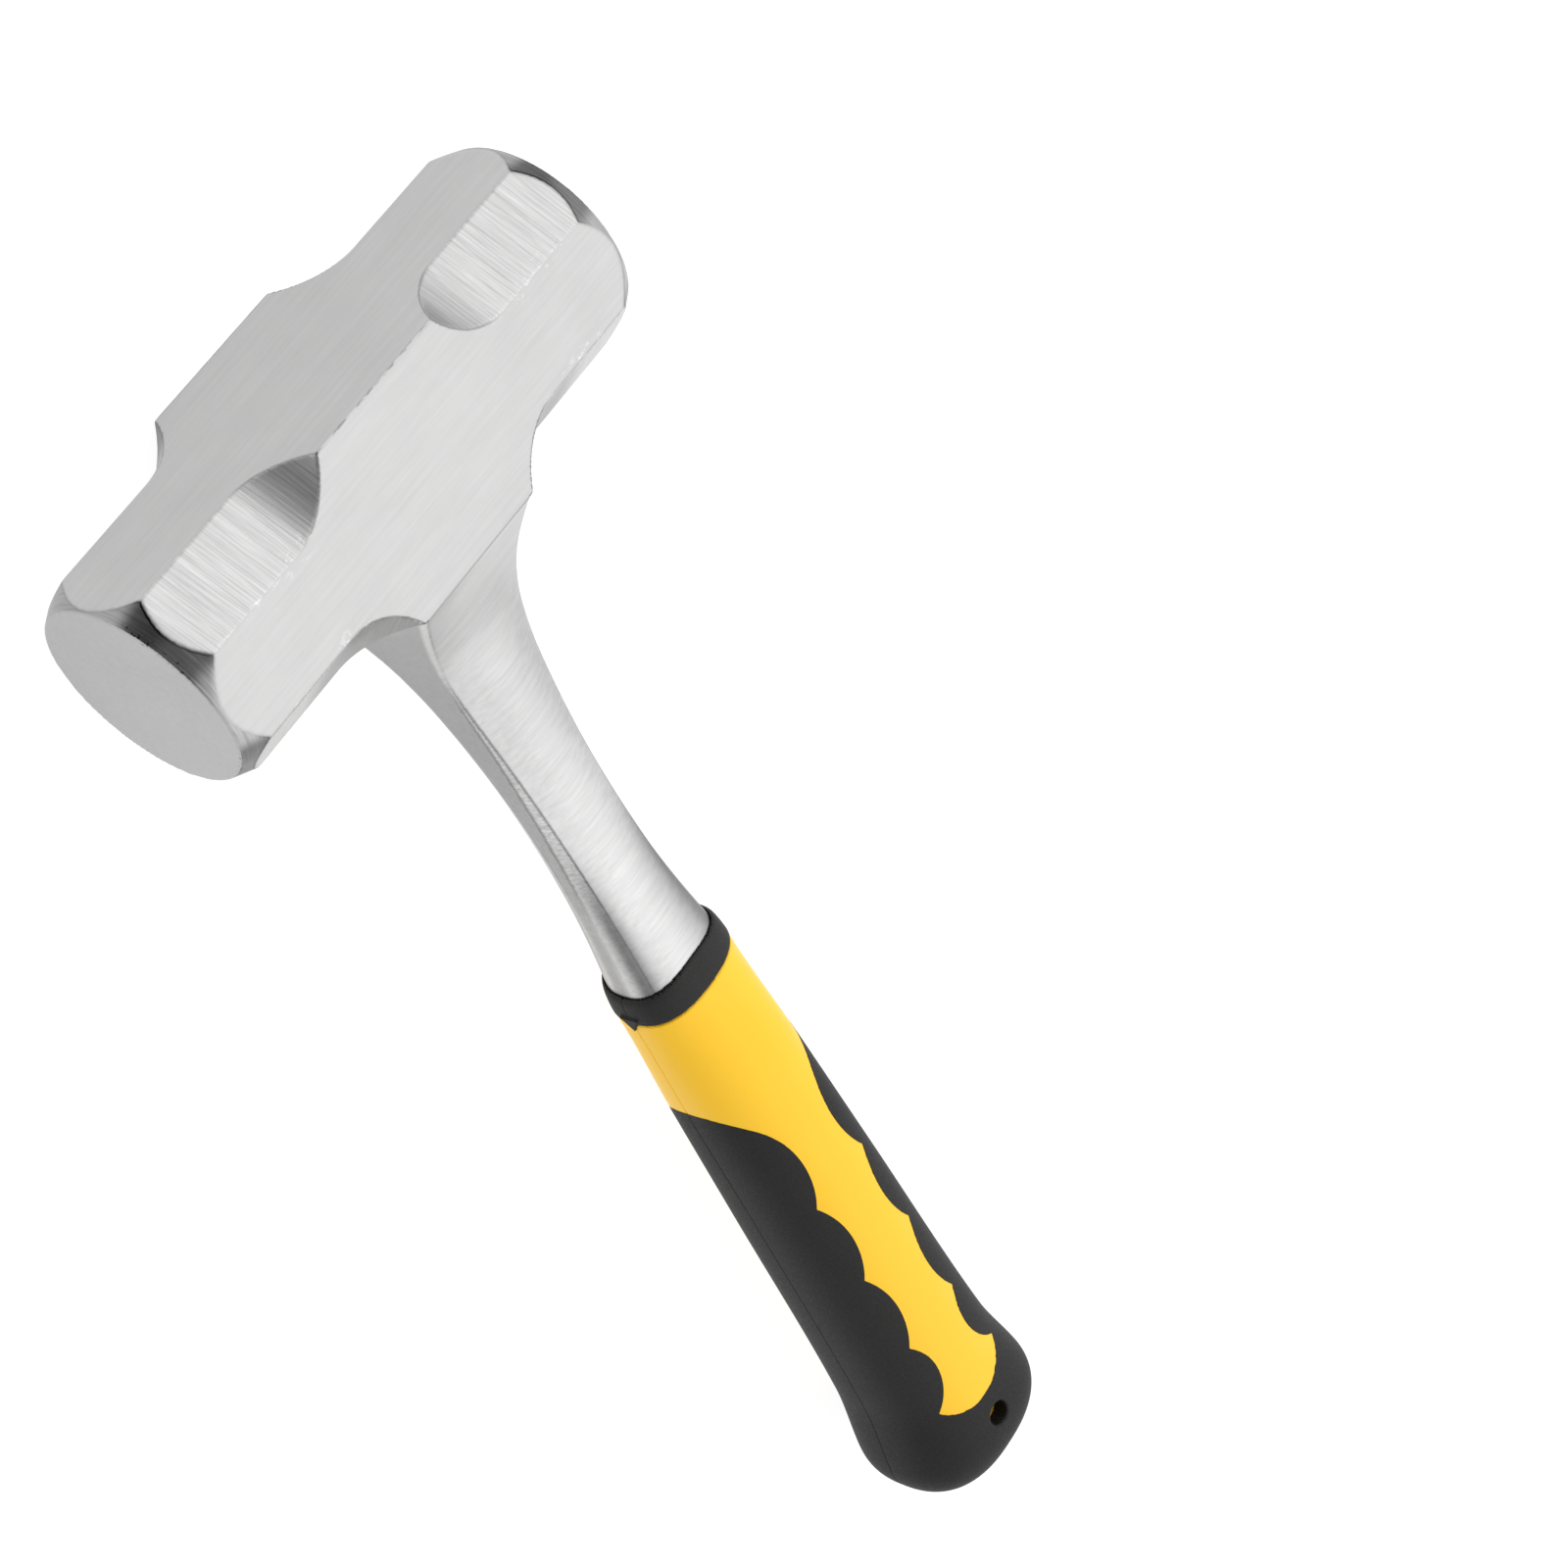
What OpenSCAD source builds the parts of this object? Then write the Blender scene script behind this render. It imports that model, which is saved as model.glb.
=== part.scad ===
/* [Head] */
// Length of the head over its two striking faces
head_length = 121; // [100:1:160]
// Width of the head across its cheeks
head_width = 43; // [38:0.5:52]
// Height of the head from its top to its underside
head_height = 43; // [38:0.5:52]
// Distance from the head's axis to each corner chamfer
chamfer_distance = 22.6; // [21:0.1:25]
// Length of the uncut boss in the middle of the head
boss_length = 34; // [28:0.5:40]
// Radius of the scoop that runs each chamfer out into the boss
scoop_radius = 17; // [12:0.5:22]
// Radius of the flat striking face
face_radius = 21.2; // [18:0.1:21.4]
// Run of the face bevel along the head for each millimetre of radius
bevel_slope = 2; // [1:0.1:3]

/* [Shank] */
// Distance from the head's axis to the front of the grip
shank_length = 140; // [138:0.5:160]
// Distance from the head's axis to the narrowest section
waist_at = 92; // [80:1:110]
// Width of the shank at its narrowest section
waist_width = 19; // [16:0.5:24]
// Depth of the shank at its narrowest section
waist_depth = 13.4; // [11:0.2:16]
// Radius of the long hollow curve seen from the cheek side
side_curve = 380; // [300:10:500]
// Radius of the long hollow curve seen from the face side
depth_curve = 350; // [300:10:500]
// Distance from the head's axis at which the root fillet ends
root_end = 48; // [44:1:55]
// Width of the shank where it leaves the boss
root_width = 34; // [30:0.2:34.4]
// Depth of the shank where it leaves the boss
root_depth = 42.6; // [34:0.2:43]

/* [Tang] */
// Length of the tang inside the grip
tang_length = 140; // [100:1:144]
// Width of the tang
tang_width = 16; // [12:0.5:18]
// Thickness of the tang
tang_depth = 8; // [6:0.5:10]
// Diameter of each lock hole through the tang
lock_hole_d = 6; // [4:0.5:8]
// Number of lock holes
lock_holes = 3; // [1:1:3]
// Distance from the front of the tang to the first lock hole
lock_first = 30; // [15:1:32]
// Distance from one lock hole to the next
lock_pitch = 36; // [12:1:38]

/* [Grip] */
// Length of the collar ring
collar_length = 8; // [6:0.5:10]
// Length of the grip behind the collar ring
grip_length = 173.5; // [168:0.5:185]
// Width of the grip behind the collar ring
front_width = 28.8; // [27:0.2:32]
// Depth of the grip behind the collar ring
front_depth = 22.4; // [21.6:0.2:25]
// Width of the grip under the palm
palm_width = 32.4; // [30:0.2:36]
// Depth of the grip under the palm
palm_depth = 31.8; // [27:0.2:34]
// Width of the grip at the last finger lobe
heel_width = 37; // [33:0.5:40]
// Depth of the grip at the last finger lobe
heel_depth = 35; // [29:0.5:37]
// Width of the flared butt
butt_width = 44.4; // [40:0.2:48]
// Depth of the flared butt
butt_depth = 38; // [34:0.5:41]
// Length of the rounded end of the butt
butt_round = 17; // [14:0.5:22]
// Thickness of the soft overmould
soft_wall = 2.4; // [1.6:0.2:3.2]

/* [Finger lobes] */
// Distance from the collar ring to the first cusp between two lobes
first_cusp = 65.4; // [62:0.2:68]
// Distance from one cusp to the next
lobe_pitch = 26; // [24:0.5:27]
// Half width of the window at a cusp
cusp_half = 9.2; // [8:0.2:10]
// How far a lobe reaches in from its cusps
lobe_rise = 2.9; // [2.5:0.1:3.5]
// Slant of each panel's front edge to the handle's axis
front_slant = 31; // [18:1:32]
// Radius of the last, tighter lobe
last_lobe_r = 18.4; // [17:0.2:20]
// Distance from the last cusp to the middle of the last lobe
last_lobe_run = 9.9; // [9:0.1:11]
// Distance from the last cusp to the round end of the window
window_run = 29.6; // [28:0.2:31]
// Radius of the round end of the window
window_end_r = 13.6; // [12.6:0.2:14.4]

/* [Hang hole] */
// Diameter of the hang hole
hang_hole_d = 5.8; // [4.5:0.1:6.5]
// Distance from the rounded end of the butt to the hang hole
hang_hole_inset = 18.5; // [15:0.5:22]

/* [Hidden] */
$fn = 96;
over = 1;                                   // how far a cutter runs past what it cuts
ring_points = 24;                           // points round one lofted section
cheek_z = head_width / 2;                   // height of the handle's axis over the lower cheek
grip_start = shank_length + collar_length;
grip_end = grip_start + grip_length;
shank_seat = 2.5;                           // how far the full shank runs into the collar ring
seat_end = shank_length + shank_seat;
nose_width = 23;                            // core's nose under the collar ring
nose_depth = 17;
last_cusp = grip_start + first_cusp + 2 * lobe_pitch;
hole_x = grip_end - hang_hole_inset;
corner_cut = head_width / 2 * sqrt(2) - chamfer_distance;   // how deep a chamfer cuts at the corner

// Radius of an arc from its half chord and its rise
function arc_radius(half, rise) = (half * half + rise * rise) / (2 * rise);

// Drop of a circle of radius r below its top at distance d from the centre
function sag(r, d) = r - sqrt(r * r - d * d);

// One point of an oval section with half sizes w and d
function oval(w, d, power, a) = [
    w * sign(cos(a)) * pow(abs(cos(a)), 2 / power),
    d * sign(sin(a)) * pow(abs(sin(a)), 2 / power)
];

// Smooth value at x through keys of the form [x, value]
function slope(keys, i) =
    i == 0 || i == len(keys) - 1 ? 0
    : (keys[i + 1][1] - keys[i - 1][1]) / (keys[i + 1][0] - keys[i - 1][0]);
function hermite(a, b, ma, mb, span, t) =
    a * (1 + 2 * t) * (1 - t) * (1 - t) + ma * span * t * (1 - t) * (1 - t)
    + b * t * t * (3 - 2 * t) + mb * span * t * t * (t - 1);
function along(keys, x, i = 0) =
    i < len(keys) - 2 && x > keys[i + 1][0] ? along(keys, x, i + 1)
    : hermite(keys[i][1], keys[i + 1][1], slope(keys, i), slope(keys, i + 1),
              keys[i + 1][0] - keys[i][0], (x - keys[i][0]) / (keys[i + 1][0] - keys[i][0]));

// Half sizes and squareness of the shank at distance x from the head's axis
root_start = head_height / 2;
root_run = root_end - root_start;
shank_power = 2.6;                          // squareness of the shank's oval section
root_squareness = 6;                        // how much squarer it gets where it leaves the boss
function waist_half(size, curve, x) = size / 2 + sag(curve, abs(x - waist_at));
function root_rise(size, waist, curve, x) =
    x >= root_end ? 0
    : sag(arc_radius(root_run, size / 2 - waist_half(waist, curve, root_start)), root_end - x);
function shank_half(size, waist, curve, x) =
    waist_half(waist, curve, max(x, root_start)) + root_rise(size, waist, curve, max(x, root_start));
function shank_section(x) = [
    x,
    shank_half(root_width, waist_width, side_curve, x),
    shank_half(root_depth, waist_depth, depth_curve, x),
    shank_power + (x < root_end ? root_squareness * pow((root_end - max(x, root_start)) / root_run, 2) : 0)
];

// Half sizes of the grip at distance x from the head's axis
grip_power = 2.45;
flare_at = grip_end - butt_round / 2;
grip_at = [grip_start, grip_start + 32, grip_start + 72, grip_start + 137, flare_at];
function keys(front, palm, heel, butt) = [
    [grip_at[0], front / 2],
    [grip_at[1], (front + palm) / 4],
    [grip_at[2], palm / 2],
    [grip_at[3], heel / 2],
    [grip_at[4], butt / 2]
];
width_keys = keys(front_width, palm_width, heel_width, butt_width);
depth_keys = keys(front_depth, palm_depth, heel_depth, butt_depth);
dome_power = 2.7;
function dome(x, inset) =
    let (t = (x - grip_end + butt_round) / (butt_round - inset))
    t <= 0 ? 1 : pow(max(0, 1 - pow(t, dome_power)), 1 / dome_power);
function grip_section(x, inset) = [
    x,
    (along(width_keys, min(x, flare_at)) - inset) * dome(x, inset),
    (along(depth_keys, min(x, flare_at)) - inset) * dome(x, inset),
    grip_power
];

// A solid through oval sections of the form [x, half width, half depth, squareness]
module loft(sections) {
    n = ring_points;
    points = [
        for (s = sections) for (i = [0 : n - 1])
            let (p = oval(s[1], s[2], s[3], i * 360 / n)) [s[0], p[0], p[1] + cheek_z]
    ];
    front_cap = [for (i = [0 : n - 1]) i];
    rear_cap = [for (i = [n - 1 : -1 : 0]) (len(sections) - 1) * n + i];
    sides = [
        for (k = [0 : len(sections) - 2]) for (i = [0 : n - 1])
            let (a = k * n + i, b = k * n + (i + 1) % n)
            each [[a, b + n, b], [a, a + n, b + n]]
    ];
    polyhedron(points = points, faces = concat([front_cap, rear_cap], sides));
}

// Cutter for one corner chamfer of the head, with the scoop that ends it
module chamfer_cutter() {
    reach = head_width;
    scoop_at = boss_length / 2 + sqrt(pow(scoop_radius, 2) - pow(scoop_radius - corner_cut, 2));
    linear_extrude(head_width, center = true) {
        translate([chamfer_distance, scoop_at]) square([reach, head_length]);
        translate([chamfer_distance + scoop_radius, scoop_at]) circle(scoop_radius);
    }
}

// Round envelope that bevels both striking faces
module face_envelope() {
    r = head_width;
    bevel_run = (r - face_radius) * bevel_slope;
    rotate([-90, 0, 0]) rotate_extrude()
        polygon([
            [0, -head_length / 2],
            [face_radius, -head_length / 2],
            [r, bevel_run - head_length / 2],
            [r, head_length / 2 - bevel_run],
            [face_radius, head_length / 2],
            [0, head_length / 2]
        ]);
}

module head() {
    difference() {
        intersection() {
            cube([head_height, head_length, head_width], center = true);
            face_envelope();
        }
        for (a = [45 : 90 : 315])
            rotate([0, a, 0])
                for (side = [0, 1])
                    mirror([0, side, 0]) chamfer_cutter();
    }
}

// Full section of the shank, from inside the head to its seat in the collar ring
module shank() {
    root_steps = 6;
    waist_steps = 8;
    loft(concat(
        [shank_section(root_start - 4)],
        [for (i = [0 : root_steps - 1]) shank_section(root_start + i * root_run / root_steps)],
        [for (i = [0 : waist_steps]) shank_section(root_end + i * (seat_end - root_end) / waist_steps)]
    ));
}

// Flat tang with its lock holes
module tang() {
    translate([0, 0, cheek_z]) difference() {
        union() {
            translate([seat_end - over, -tang_width / 2, -tang_depth / 2])
                cube([tang_length + over - tang_width / 2, tang_width, tang_depth]);
            translate([seat_end + tang_length - tang_width / 2, 0, 0])
                cylinder(h = tang_depth, d = tang_width, center = true);
        }
        for (i = [0 : lock_holes - 1])
            translate([seat_end + lock_first + i * lock_pitch, 0, 0])
                cylinder(h = tang_depth + 2 * over, d = lock_hole_d, center = true);
    }
}

module forging() {
    color("lightgray") {
        translate([0, 0, cheek_z]) head();
        shank();
        tang();
    }
}

// Outer form of the grip, taken in by inset
module grip_body(start, inset) {
    straight_steps = 10;
    straight_end = grip_end - butt_round;
    step = (straight_end - start) / straight_steps;
    loft(concat(
        [for (i = [0 : straight_steps]) grip_section(start + i * step, inset)],
        [for (t = [0.35, 0.6, 0.8, 0.93, 0.99]) grip_section(straight_end + t * (butt_round - inset), inset)]
    ));
}

// One side panel's outline: the finger lobes and the slanted front edge
module panel_outline() {
    lobe_r = arc_radius(lobe_pitch / 2, lobe_rise);
    lobe_y = cusp_half - lobe_rise + lobe_r;
    first_lobe = last_cusp - 2.5 * lobe_pitch;
    for (i = [0 : 2])
        translate([first_lobe + i * lobe_pitch, lobe_y]) circle(lobe_r);
    // tangent to the first lobe, running forward and outward
    tangent = [first_lobe - lobe_r * sin(front_slant), lobe_y - lobe_r * cos(front_slant)];
    polygon([
        tangent,
        tangent + lobe_r * [-cos(front_slant), sin(front_slant)],
        [first_lobe, lobe_y]
    ]);
    // the last lobe ends in the tip of the window
    translate([last_cusp + last_lobe_run, cusp_half - lobe_rise + last_lobe_r]) circle(last_lobe_r);
}

// Yellow window, drawn on the handle's cheek side and cut right through
module window() {
    square_end = last_cusp + window_run - window_end_r;
    linear_extrude(head_width) difference() {
        union() {
            translate([grip_start - over, -head_width / 2])
                square([square_end - grip_start + over, head_width]);
            translate([square_end, 0]) circle(window_end_r);
        }
        for (side = [0, 1]) mirror([0, side]) panel_outline();
    }
}

module hang_hole() {
    translate([hole_x, 0, 0]) cylinder(h = head_width, d = hang_hole_d);
}

// Nose of the core, under the collar ring
module nose() {
    loft([
        [seat_end, nose_width / 2, nose_depth / 2, grip_power],
        [grip_start + over, nose_width / 2, nose_depth / 2, grip_power]
    ]);
}

module grip_core() {
    color("gold") difference() {
        union() {
            intersection() {
                grip_body(grip_start, 0);
                window();
            }
            grip_body(grip_start + 2 * soft_wall, soft_wall);
            nose();
        }
        tang();
        hang_hole();
        collar_tooth();
    }
}

module grip_overmould() {
    color("#2e2e2e") difference() {
        grip_body(grip_start, 0);
        window();
        grip_body(grip_start + 2 * soft_wall, soft_wall);
        hang_hole();
    }
}

// Small tooth on the mould seam behind the collar ring
module collar_tooth() {
    length = 2;
    half = 1.2;
    deep = 1.5;
    translate([grip_start - over, -front_width / 2, cheek_z]) rotate([-90, 0, 0])
        linear_extrude(deep)
            polygon([[0, -half], [0, half], [over, half], [over + length, 0], [over, -half]]);
}

module collar_ring() {
    lip = 0.6;
    edge_run = 3;
    rim = shank_section(shank_length);
    color("#2e2e2e") difference() {
        union() {
            loft([
                [shank_length, rim[1] + lip, rim[2] + lip, grip_power],
                [shank_length + edge_run, front_width / 2 - lip / 2, front_depth / 2 - lip / 4, grip_power],
                [grip_start, front_width / 2, front_depth / 2, grip_power]
            ]);
            collar_tooth();
        }
        shank();
        nose();
    }
}

forging();
grip_core();
grip_overmould();
collar_ring();
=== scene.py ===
"""Looks of a one-piece forged club hammer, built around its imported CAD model.

Every visible piece is meshed from a field: a function that is negative inside the piece and
zero on its surface. Fields are in millimetres, with z measured from the handle's axis.
Meshes are in metres, in the CAD model's frame.
"""
import math
from functools import partial

import bpy
import numpy as np
from mathutils import Matrix, Vector

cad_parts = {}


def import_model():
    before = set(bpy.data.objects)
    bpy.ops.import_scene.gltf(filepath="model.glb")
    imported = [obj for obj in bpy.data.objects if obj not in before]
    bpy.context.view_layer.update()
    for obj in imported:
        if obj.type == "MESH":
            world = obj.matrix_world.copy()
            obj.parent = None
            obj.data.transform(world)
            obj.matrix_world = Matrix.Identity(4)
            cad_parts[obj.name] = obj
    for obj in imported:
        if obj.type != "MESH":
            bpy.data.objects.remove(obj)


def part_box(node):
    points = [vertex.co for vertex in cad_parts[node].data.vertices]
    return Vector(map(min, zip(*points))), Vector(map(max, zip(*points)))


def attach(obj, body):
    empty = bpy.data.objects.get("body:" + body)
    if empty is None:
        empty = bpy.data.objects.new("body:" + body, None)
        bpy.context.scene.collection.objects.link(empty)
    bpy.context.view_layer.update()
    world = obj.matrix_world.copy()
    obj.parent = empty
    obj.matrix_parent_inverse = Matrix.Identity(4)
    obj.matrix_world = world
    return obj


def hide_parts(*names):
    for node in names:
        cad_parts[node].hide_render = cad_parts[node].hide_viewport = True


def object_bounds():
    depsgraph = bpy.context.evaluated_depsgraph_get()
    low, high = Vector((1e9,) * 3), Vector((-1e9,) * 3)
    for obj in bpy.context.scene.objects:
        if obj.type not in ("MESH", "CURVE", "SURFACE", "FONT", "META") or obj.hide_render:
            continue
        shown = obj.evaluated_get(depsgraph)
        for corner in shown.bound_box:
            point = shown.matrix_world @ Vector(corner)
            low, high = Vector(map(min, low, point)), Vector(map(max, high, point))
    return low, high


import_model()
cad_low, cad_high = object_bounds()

MM = 0.001

# ---------------------------------------------------------------- sizes, from the frame
_, forging_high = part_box("forging")
collar_low, collar_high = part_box("collar_ring")
_, grip_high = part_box("grip_overmould")
AXIS = forging_high.z / MM / 2              # height of the handle's axis over the lower cheek
HALF = AXIS                                 # half the head's width and height
FACE_Y = forging_high.y / MM                # the striking faces are at y = -FACE_Y and FACE_Y
COLLAR_X = collar_low.x / MM                # front of the collar ring
GRIP_X = COLLAR_X + 8                       # front of the grip
GRIP_END = grip_high.x / MM                 # end of the butt

# ---------------------------------------------------------------- fields: tools
def both(a, b, radius):
    """Where both fields are negative, with an outer edge of that radius."""
    inner = np.minimum(np.maximum(a, b), -radius)
    return inner + np.hypot(np.maximum(a + radius, 0), np.maximum(b + radius, 0))


def either(a, b, radius):
    """Where one of the fields is negative, with a fillet of that radius."""
    return -both(-a, -b, radius)


def sag(radius, distance):
    """Drop of a circle below its top at that distance from the middle."""
    return radius - np.sqrt(radius * radius - distance * distance)


def arc_radius(half_chord, rise):
    """Radius of the arc that rises so far over that half chord."""
    return (half_chord * half_chord + rise * rise) / (2 * rise)


def ease(x, start, end):
    """0 before start, 1 after end, and smooth between them."""
    t = np.clip((x - start) / (end - start), 0, 1)
    return t * t * (3 - 2 * t)


def curve(keys):
    """Smooth curve through keys of the form (x, value), level at both ends, as a function of x."""
    at, value = zip(*keys)
    slope = [0.0, *((value[i + 2] - value[i]) / (at[i + 2] - at[i]) for i in range(len(keys) - 2)), 0.0]
    fine_x, fine_value = [], []
    for i in range(len(keys) - 1):
        span = at[i + 1] - at[i]
        t = np.linspace(0, 1, 600, endpoint=i == len(keys) - 2)
        fine_x.append(at[i] + t * span)
        fine_value.append(
            value[i] * (1 + 2 * t) * (1 - t) ** 2 + slope[i] * span * t * (1 - t) ** 2
            + value[i + 1] * t * t * (3 - 2 * t) + slope[i + 1] * span * t * t * (t - 1)
        )
    fine_x, fine_value = np.concatenate(fine_x), np.concatenate(fine_value)
    return lambda x: np.interp(x, fine_x, fine_value)


def oval(y, z, half_width, half_depth, power):
    """Distance to an oval section whose corners are squarer for a higher power."""
    u = np.abs(y) / half_width + 1e-6
    v = np.abs(z) / half_depth + 1e-6
    size = (u ** power + v ** power) ** (1 / power)
    steep = np.hypot((u / size) ** (power - 1) / half_width, (v / size) ** (power - 1) / half_depth)
    return (size - 1) / steep, size


# ---------------------------------------------------------------- fields: the forging
CHAMFER = 22.6          # distance from the head's axis to each corner chamfer
BOSS = 34               # length of the uncut boss in the middle of the head
SCOOP = 17              # radius of the scoop that runs each chamfer out into the boss
FACE_R = 21.2           # radius of the flat striking face
BEVEL_SLOPE = 2         # run of the face bevel along the head for each millimetre of radius
CORNER_CUT = HALF * math.sqrt(2) - CHAMFER
SCOOP_Y = BOSS / 2 + math.sqrt(SCOOP ** 2 - (SCOOP - CORNER_CUT) ** 2)
EDGE = 0.35             # radius of the ground edges
BEVEL_EDGE = 0.45       # radius of the edge between a flat and the round bevel
SHARP_EDGE = 0.3        # radius of the sharpest edges


def head_parts(x, y, z):
    """The head's flats, its corner chamfers, its round bevels and its striking faces."""
    far_x, far_y, far_z = np.abs(x), np.abs(y), np.abs(z)
    corner = (far_x + far_z) / math.sqrt(2)
    flats = both(far_x - HALF, far_z - HALF, EDGE)
    scoop = SCOOP - np.hypot(CHAMFER + SCOOP - corner, np.maximum(SCOOP_Y - far_y, 0))
    out = np.hypot(x, z) - FACE_R - (FACE_Y - far_y) / BEVEL_SLOPE
    bevel = out * BEVEL_SLOPE / math.hypot(BEVEL_SLOPE, 1)
    return flats, scoop, bevel, far_y - FACE_Y


def head(x, y, z):
    flats, scoop, bevel, face = head_parts(x, y, z)
    body = both(both(flats, bevel, BEVEL_EDGE), both(scoop, bevel, SHARP_EDGE), EDGE)
    return both(body, face, SHARP_EDGE)


WAIST_X = 92            # distance from the head's axis to the shank's narrowest section
WAIST = (9.5, 6.7)      # half width and half depth there
HOLLOW = (380, 350)     # radii of its long hollow curves, seen from the cheek and from the face
ROOT_X = 48             # where the root fillet ends
ROOT = (17, 21.3)       # half width and half depth where the shank leaves the boss
ROUNDED = (96, 138)     # where its faceted section turns into the oval one that the collar grips
GRIP_POWER = 2.45       # squareness of that oval and of the grip
CROWN = 0.36            # fall of the front and back at their sides, as a share of the half depth
CROWNED = (24, 60)      # where that crown grows
OPENED = (40, 125)      # where the corner facets widen
CORNER_R = (1.3, 0.4)   # radius of the shank's corners at the head and further along
ROOT_FILLET = 9         # radius of the root fillet halfway up; it fades out toward both cheeks
SHANK_START = 12        # start of the shank's field, inside the head
SEAT_X = COLLAR_X + 2.5 # end of the shank, inside the collar
TANG = (8, 4, 140)      # half width, half thickness and length of the tang
TANG_START = 120        # start of the tang's field, inside the shank
LOCK_R = 3              # radius of the lock holes
LOCK_X = [SEAT_X + 30 + 36 * i for i in range(3)]


def shank_half(which, x):
    """Half width or half depth of the shank at x."""
    waist, hollow, root = WAIST[which], HOLLOW[which], ROOT[which]
    at = np.clip(x, HALF, SEAT_X)
    start = waist + sag(hollow, WAIST_X - HALF)
    rise = sag(arc_radius(ROOT_X - HALF, root - start), np.clip(ROOT_X - at, 0, ROOT_X - HALF))
    return waist + sag(hollow, np.abs(at - WAIST_X)) + rise


def shank_parts(x, y, z):
    """The shank's crowned front and back, its corner facets and its narrow sides."""
    wide, deep = shank_half(0, x), shank_half(1, x)
    crown = CROWN * ease(x, *CROWNED)
    front = np.abs(z) - deep * (1 - crown * (y / wide) ** 2)
    opened = ease(x, *OPENED)
    inner, outer = 0.975 - 0.12 * opened, 0.995
    ridge_z = deep * (1 - crown * inner ** 2)
    low_z = ridge_z * (0.94 - 0.66 * opened)
    run, drop = (outer - inner) * wide, ridge_z - low_z
    size = np.hypot(run, drop) + 1e-6
    facet = ((np.abs(y) - outer * wide) * drop + (np.abs(z) - low_z) * run) / size
    return front, facet, np.abs(y) - wide


def forging(x, y, z):
    front, facet, side = shank_parts(x, y, z)
    thick, thin = CORNER_R
    corner_radius = thin + (thick - thin) * (1 - ease(x, 30, 52))
    shank = both(both(front, side, corner_radius), facet, EDGE)
    rounded, _ = oval(y, z, shank_half(0, x), shank_half(1, x), GRIP_POWER)
    share = ease(x, *ROUNDED)
    shank = both(shank * (1 - share) + rounded * share, x - SEAT_X, SHARP_EDGE)
    shank = np.maximum(shank, SHANK_START - x)
    fillet = ROOT_FILLET * (1 - ease(np.abs(z), 6, 20.5)) + SHARP_EDGE
    body = either(head(x, y, z), shank, fillet)
    half_wide, half_thick, length = TANG
    tang = both(np.abs(y) - half_wide, np.abs(z) - half_thick, 0.4)
    tang = both(tang, np.maximum(x - SEAT_X - length, TANG_START - x), 4)
    for hole_x in LOCK_X:
        tang = both(tang, LOCK_R - np.hypot(x - hole_x, y), 0.2)
    return np.minimum(body, tang)


# ---------------------------------------------------------------- fields: the grip
SOFT_WALL = 2.4         # thickness of the soft overmould
BUTT_ROUND = 17         # length of the rounded end of the butt
DOME_POWER = 2.7        # squareness of that end
GRIP_AT = (GRIP_X, GRIP_X + 32, GRIP_X + 72, GRIP_X + 137, GRIP_END - BUTT_ROUND / 2)
grip_wide = curve(list(zip(GRIP_AT, (14.4, 15.3, 16.2, 18.5, 22.2))))
grip_deep = curve(list(zip(GRIP_AT, (11.2, 13.55, 15.9, 17.5, 19.0))))
LOBE_PITCH = 26         # distance from one cusp to the next
LOBE_RISE = 2.9         # how far a lobe reaches in from its cusps
CUSP_HALF = 9.2         # half width of the window at a cusp
FRONT_SLANT = math.radians(31)      # slant of the overmould's front edge
LAST_CUSP = GRIP_X + 65.4 + 2 * LOBE_PITCH
LAST_LOBE_R = 18.4      # radius of the long last lobe
LAST_LOBE_RUN = 9.9     # from the last cusp to that lobe's middle
WINDOW_END = LAST_CUSP + 29.6
WINDOW_END_R = 13.6     # radius of the window's round end
WINDOW_ROUND = 0.3      # radius of the window's corners
HANG_X, HANG_R = GRIP_END - 18.5, 2.9
HOLE_WALL = 1.6         # extra thickness of the overmould round the hang hole
SEAM_DEEP, SEAM_HALF = 0.14, 0.16   # depth and half width of the mould's parting line
SEAM_FROM = 4           # that line starts this far from the handle's middle
RIM_ROUND = 0.06        # radius of the overmould's edge round the windows


def grip_body(x, y, z, inset):
    """Outer form of the grip, taken in by inset."""
    wide, deep = grip_wide(x) - inset, grip_deep(x) - inset
    near, size = oval(y, z, wide, deep, GRIP_POWER)
    start = GRIP_END - BUTT_ROUND
    t = np.maximum(x - start, 0) / (BUTT_ROUND - inset) + 1e-6
    domed = (size ** DOME_POWER + t ** DOME_POWER) ** (1 / DOME_POWER)
    scale = np.where(np.abs(size - 1) > 1e-4, near / (size - 1 + 1e-9), wide)
    steep = np.hypot((size / domed) ** (DOME_POWER - 1) / scale,
                     (t / domed) ** (DOME_POWER - 1) / (BUTT_ROUND - inset))
    return (domed - 1) / np.maximum(steep, 1e-3)


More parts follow.
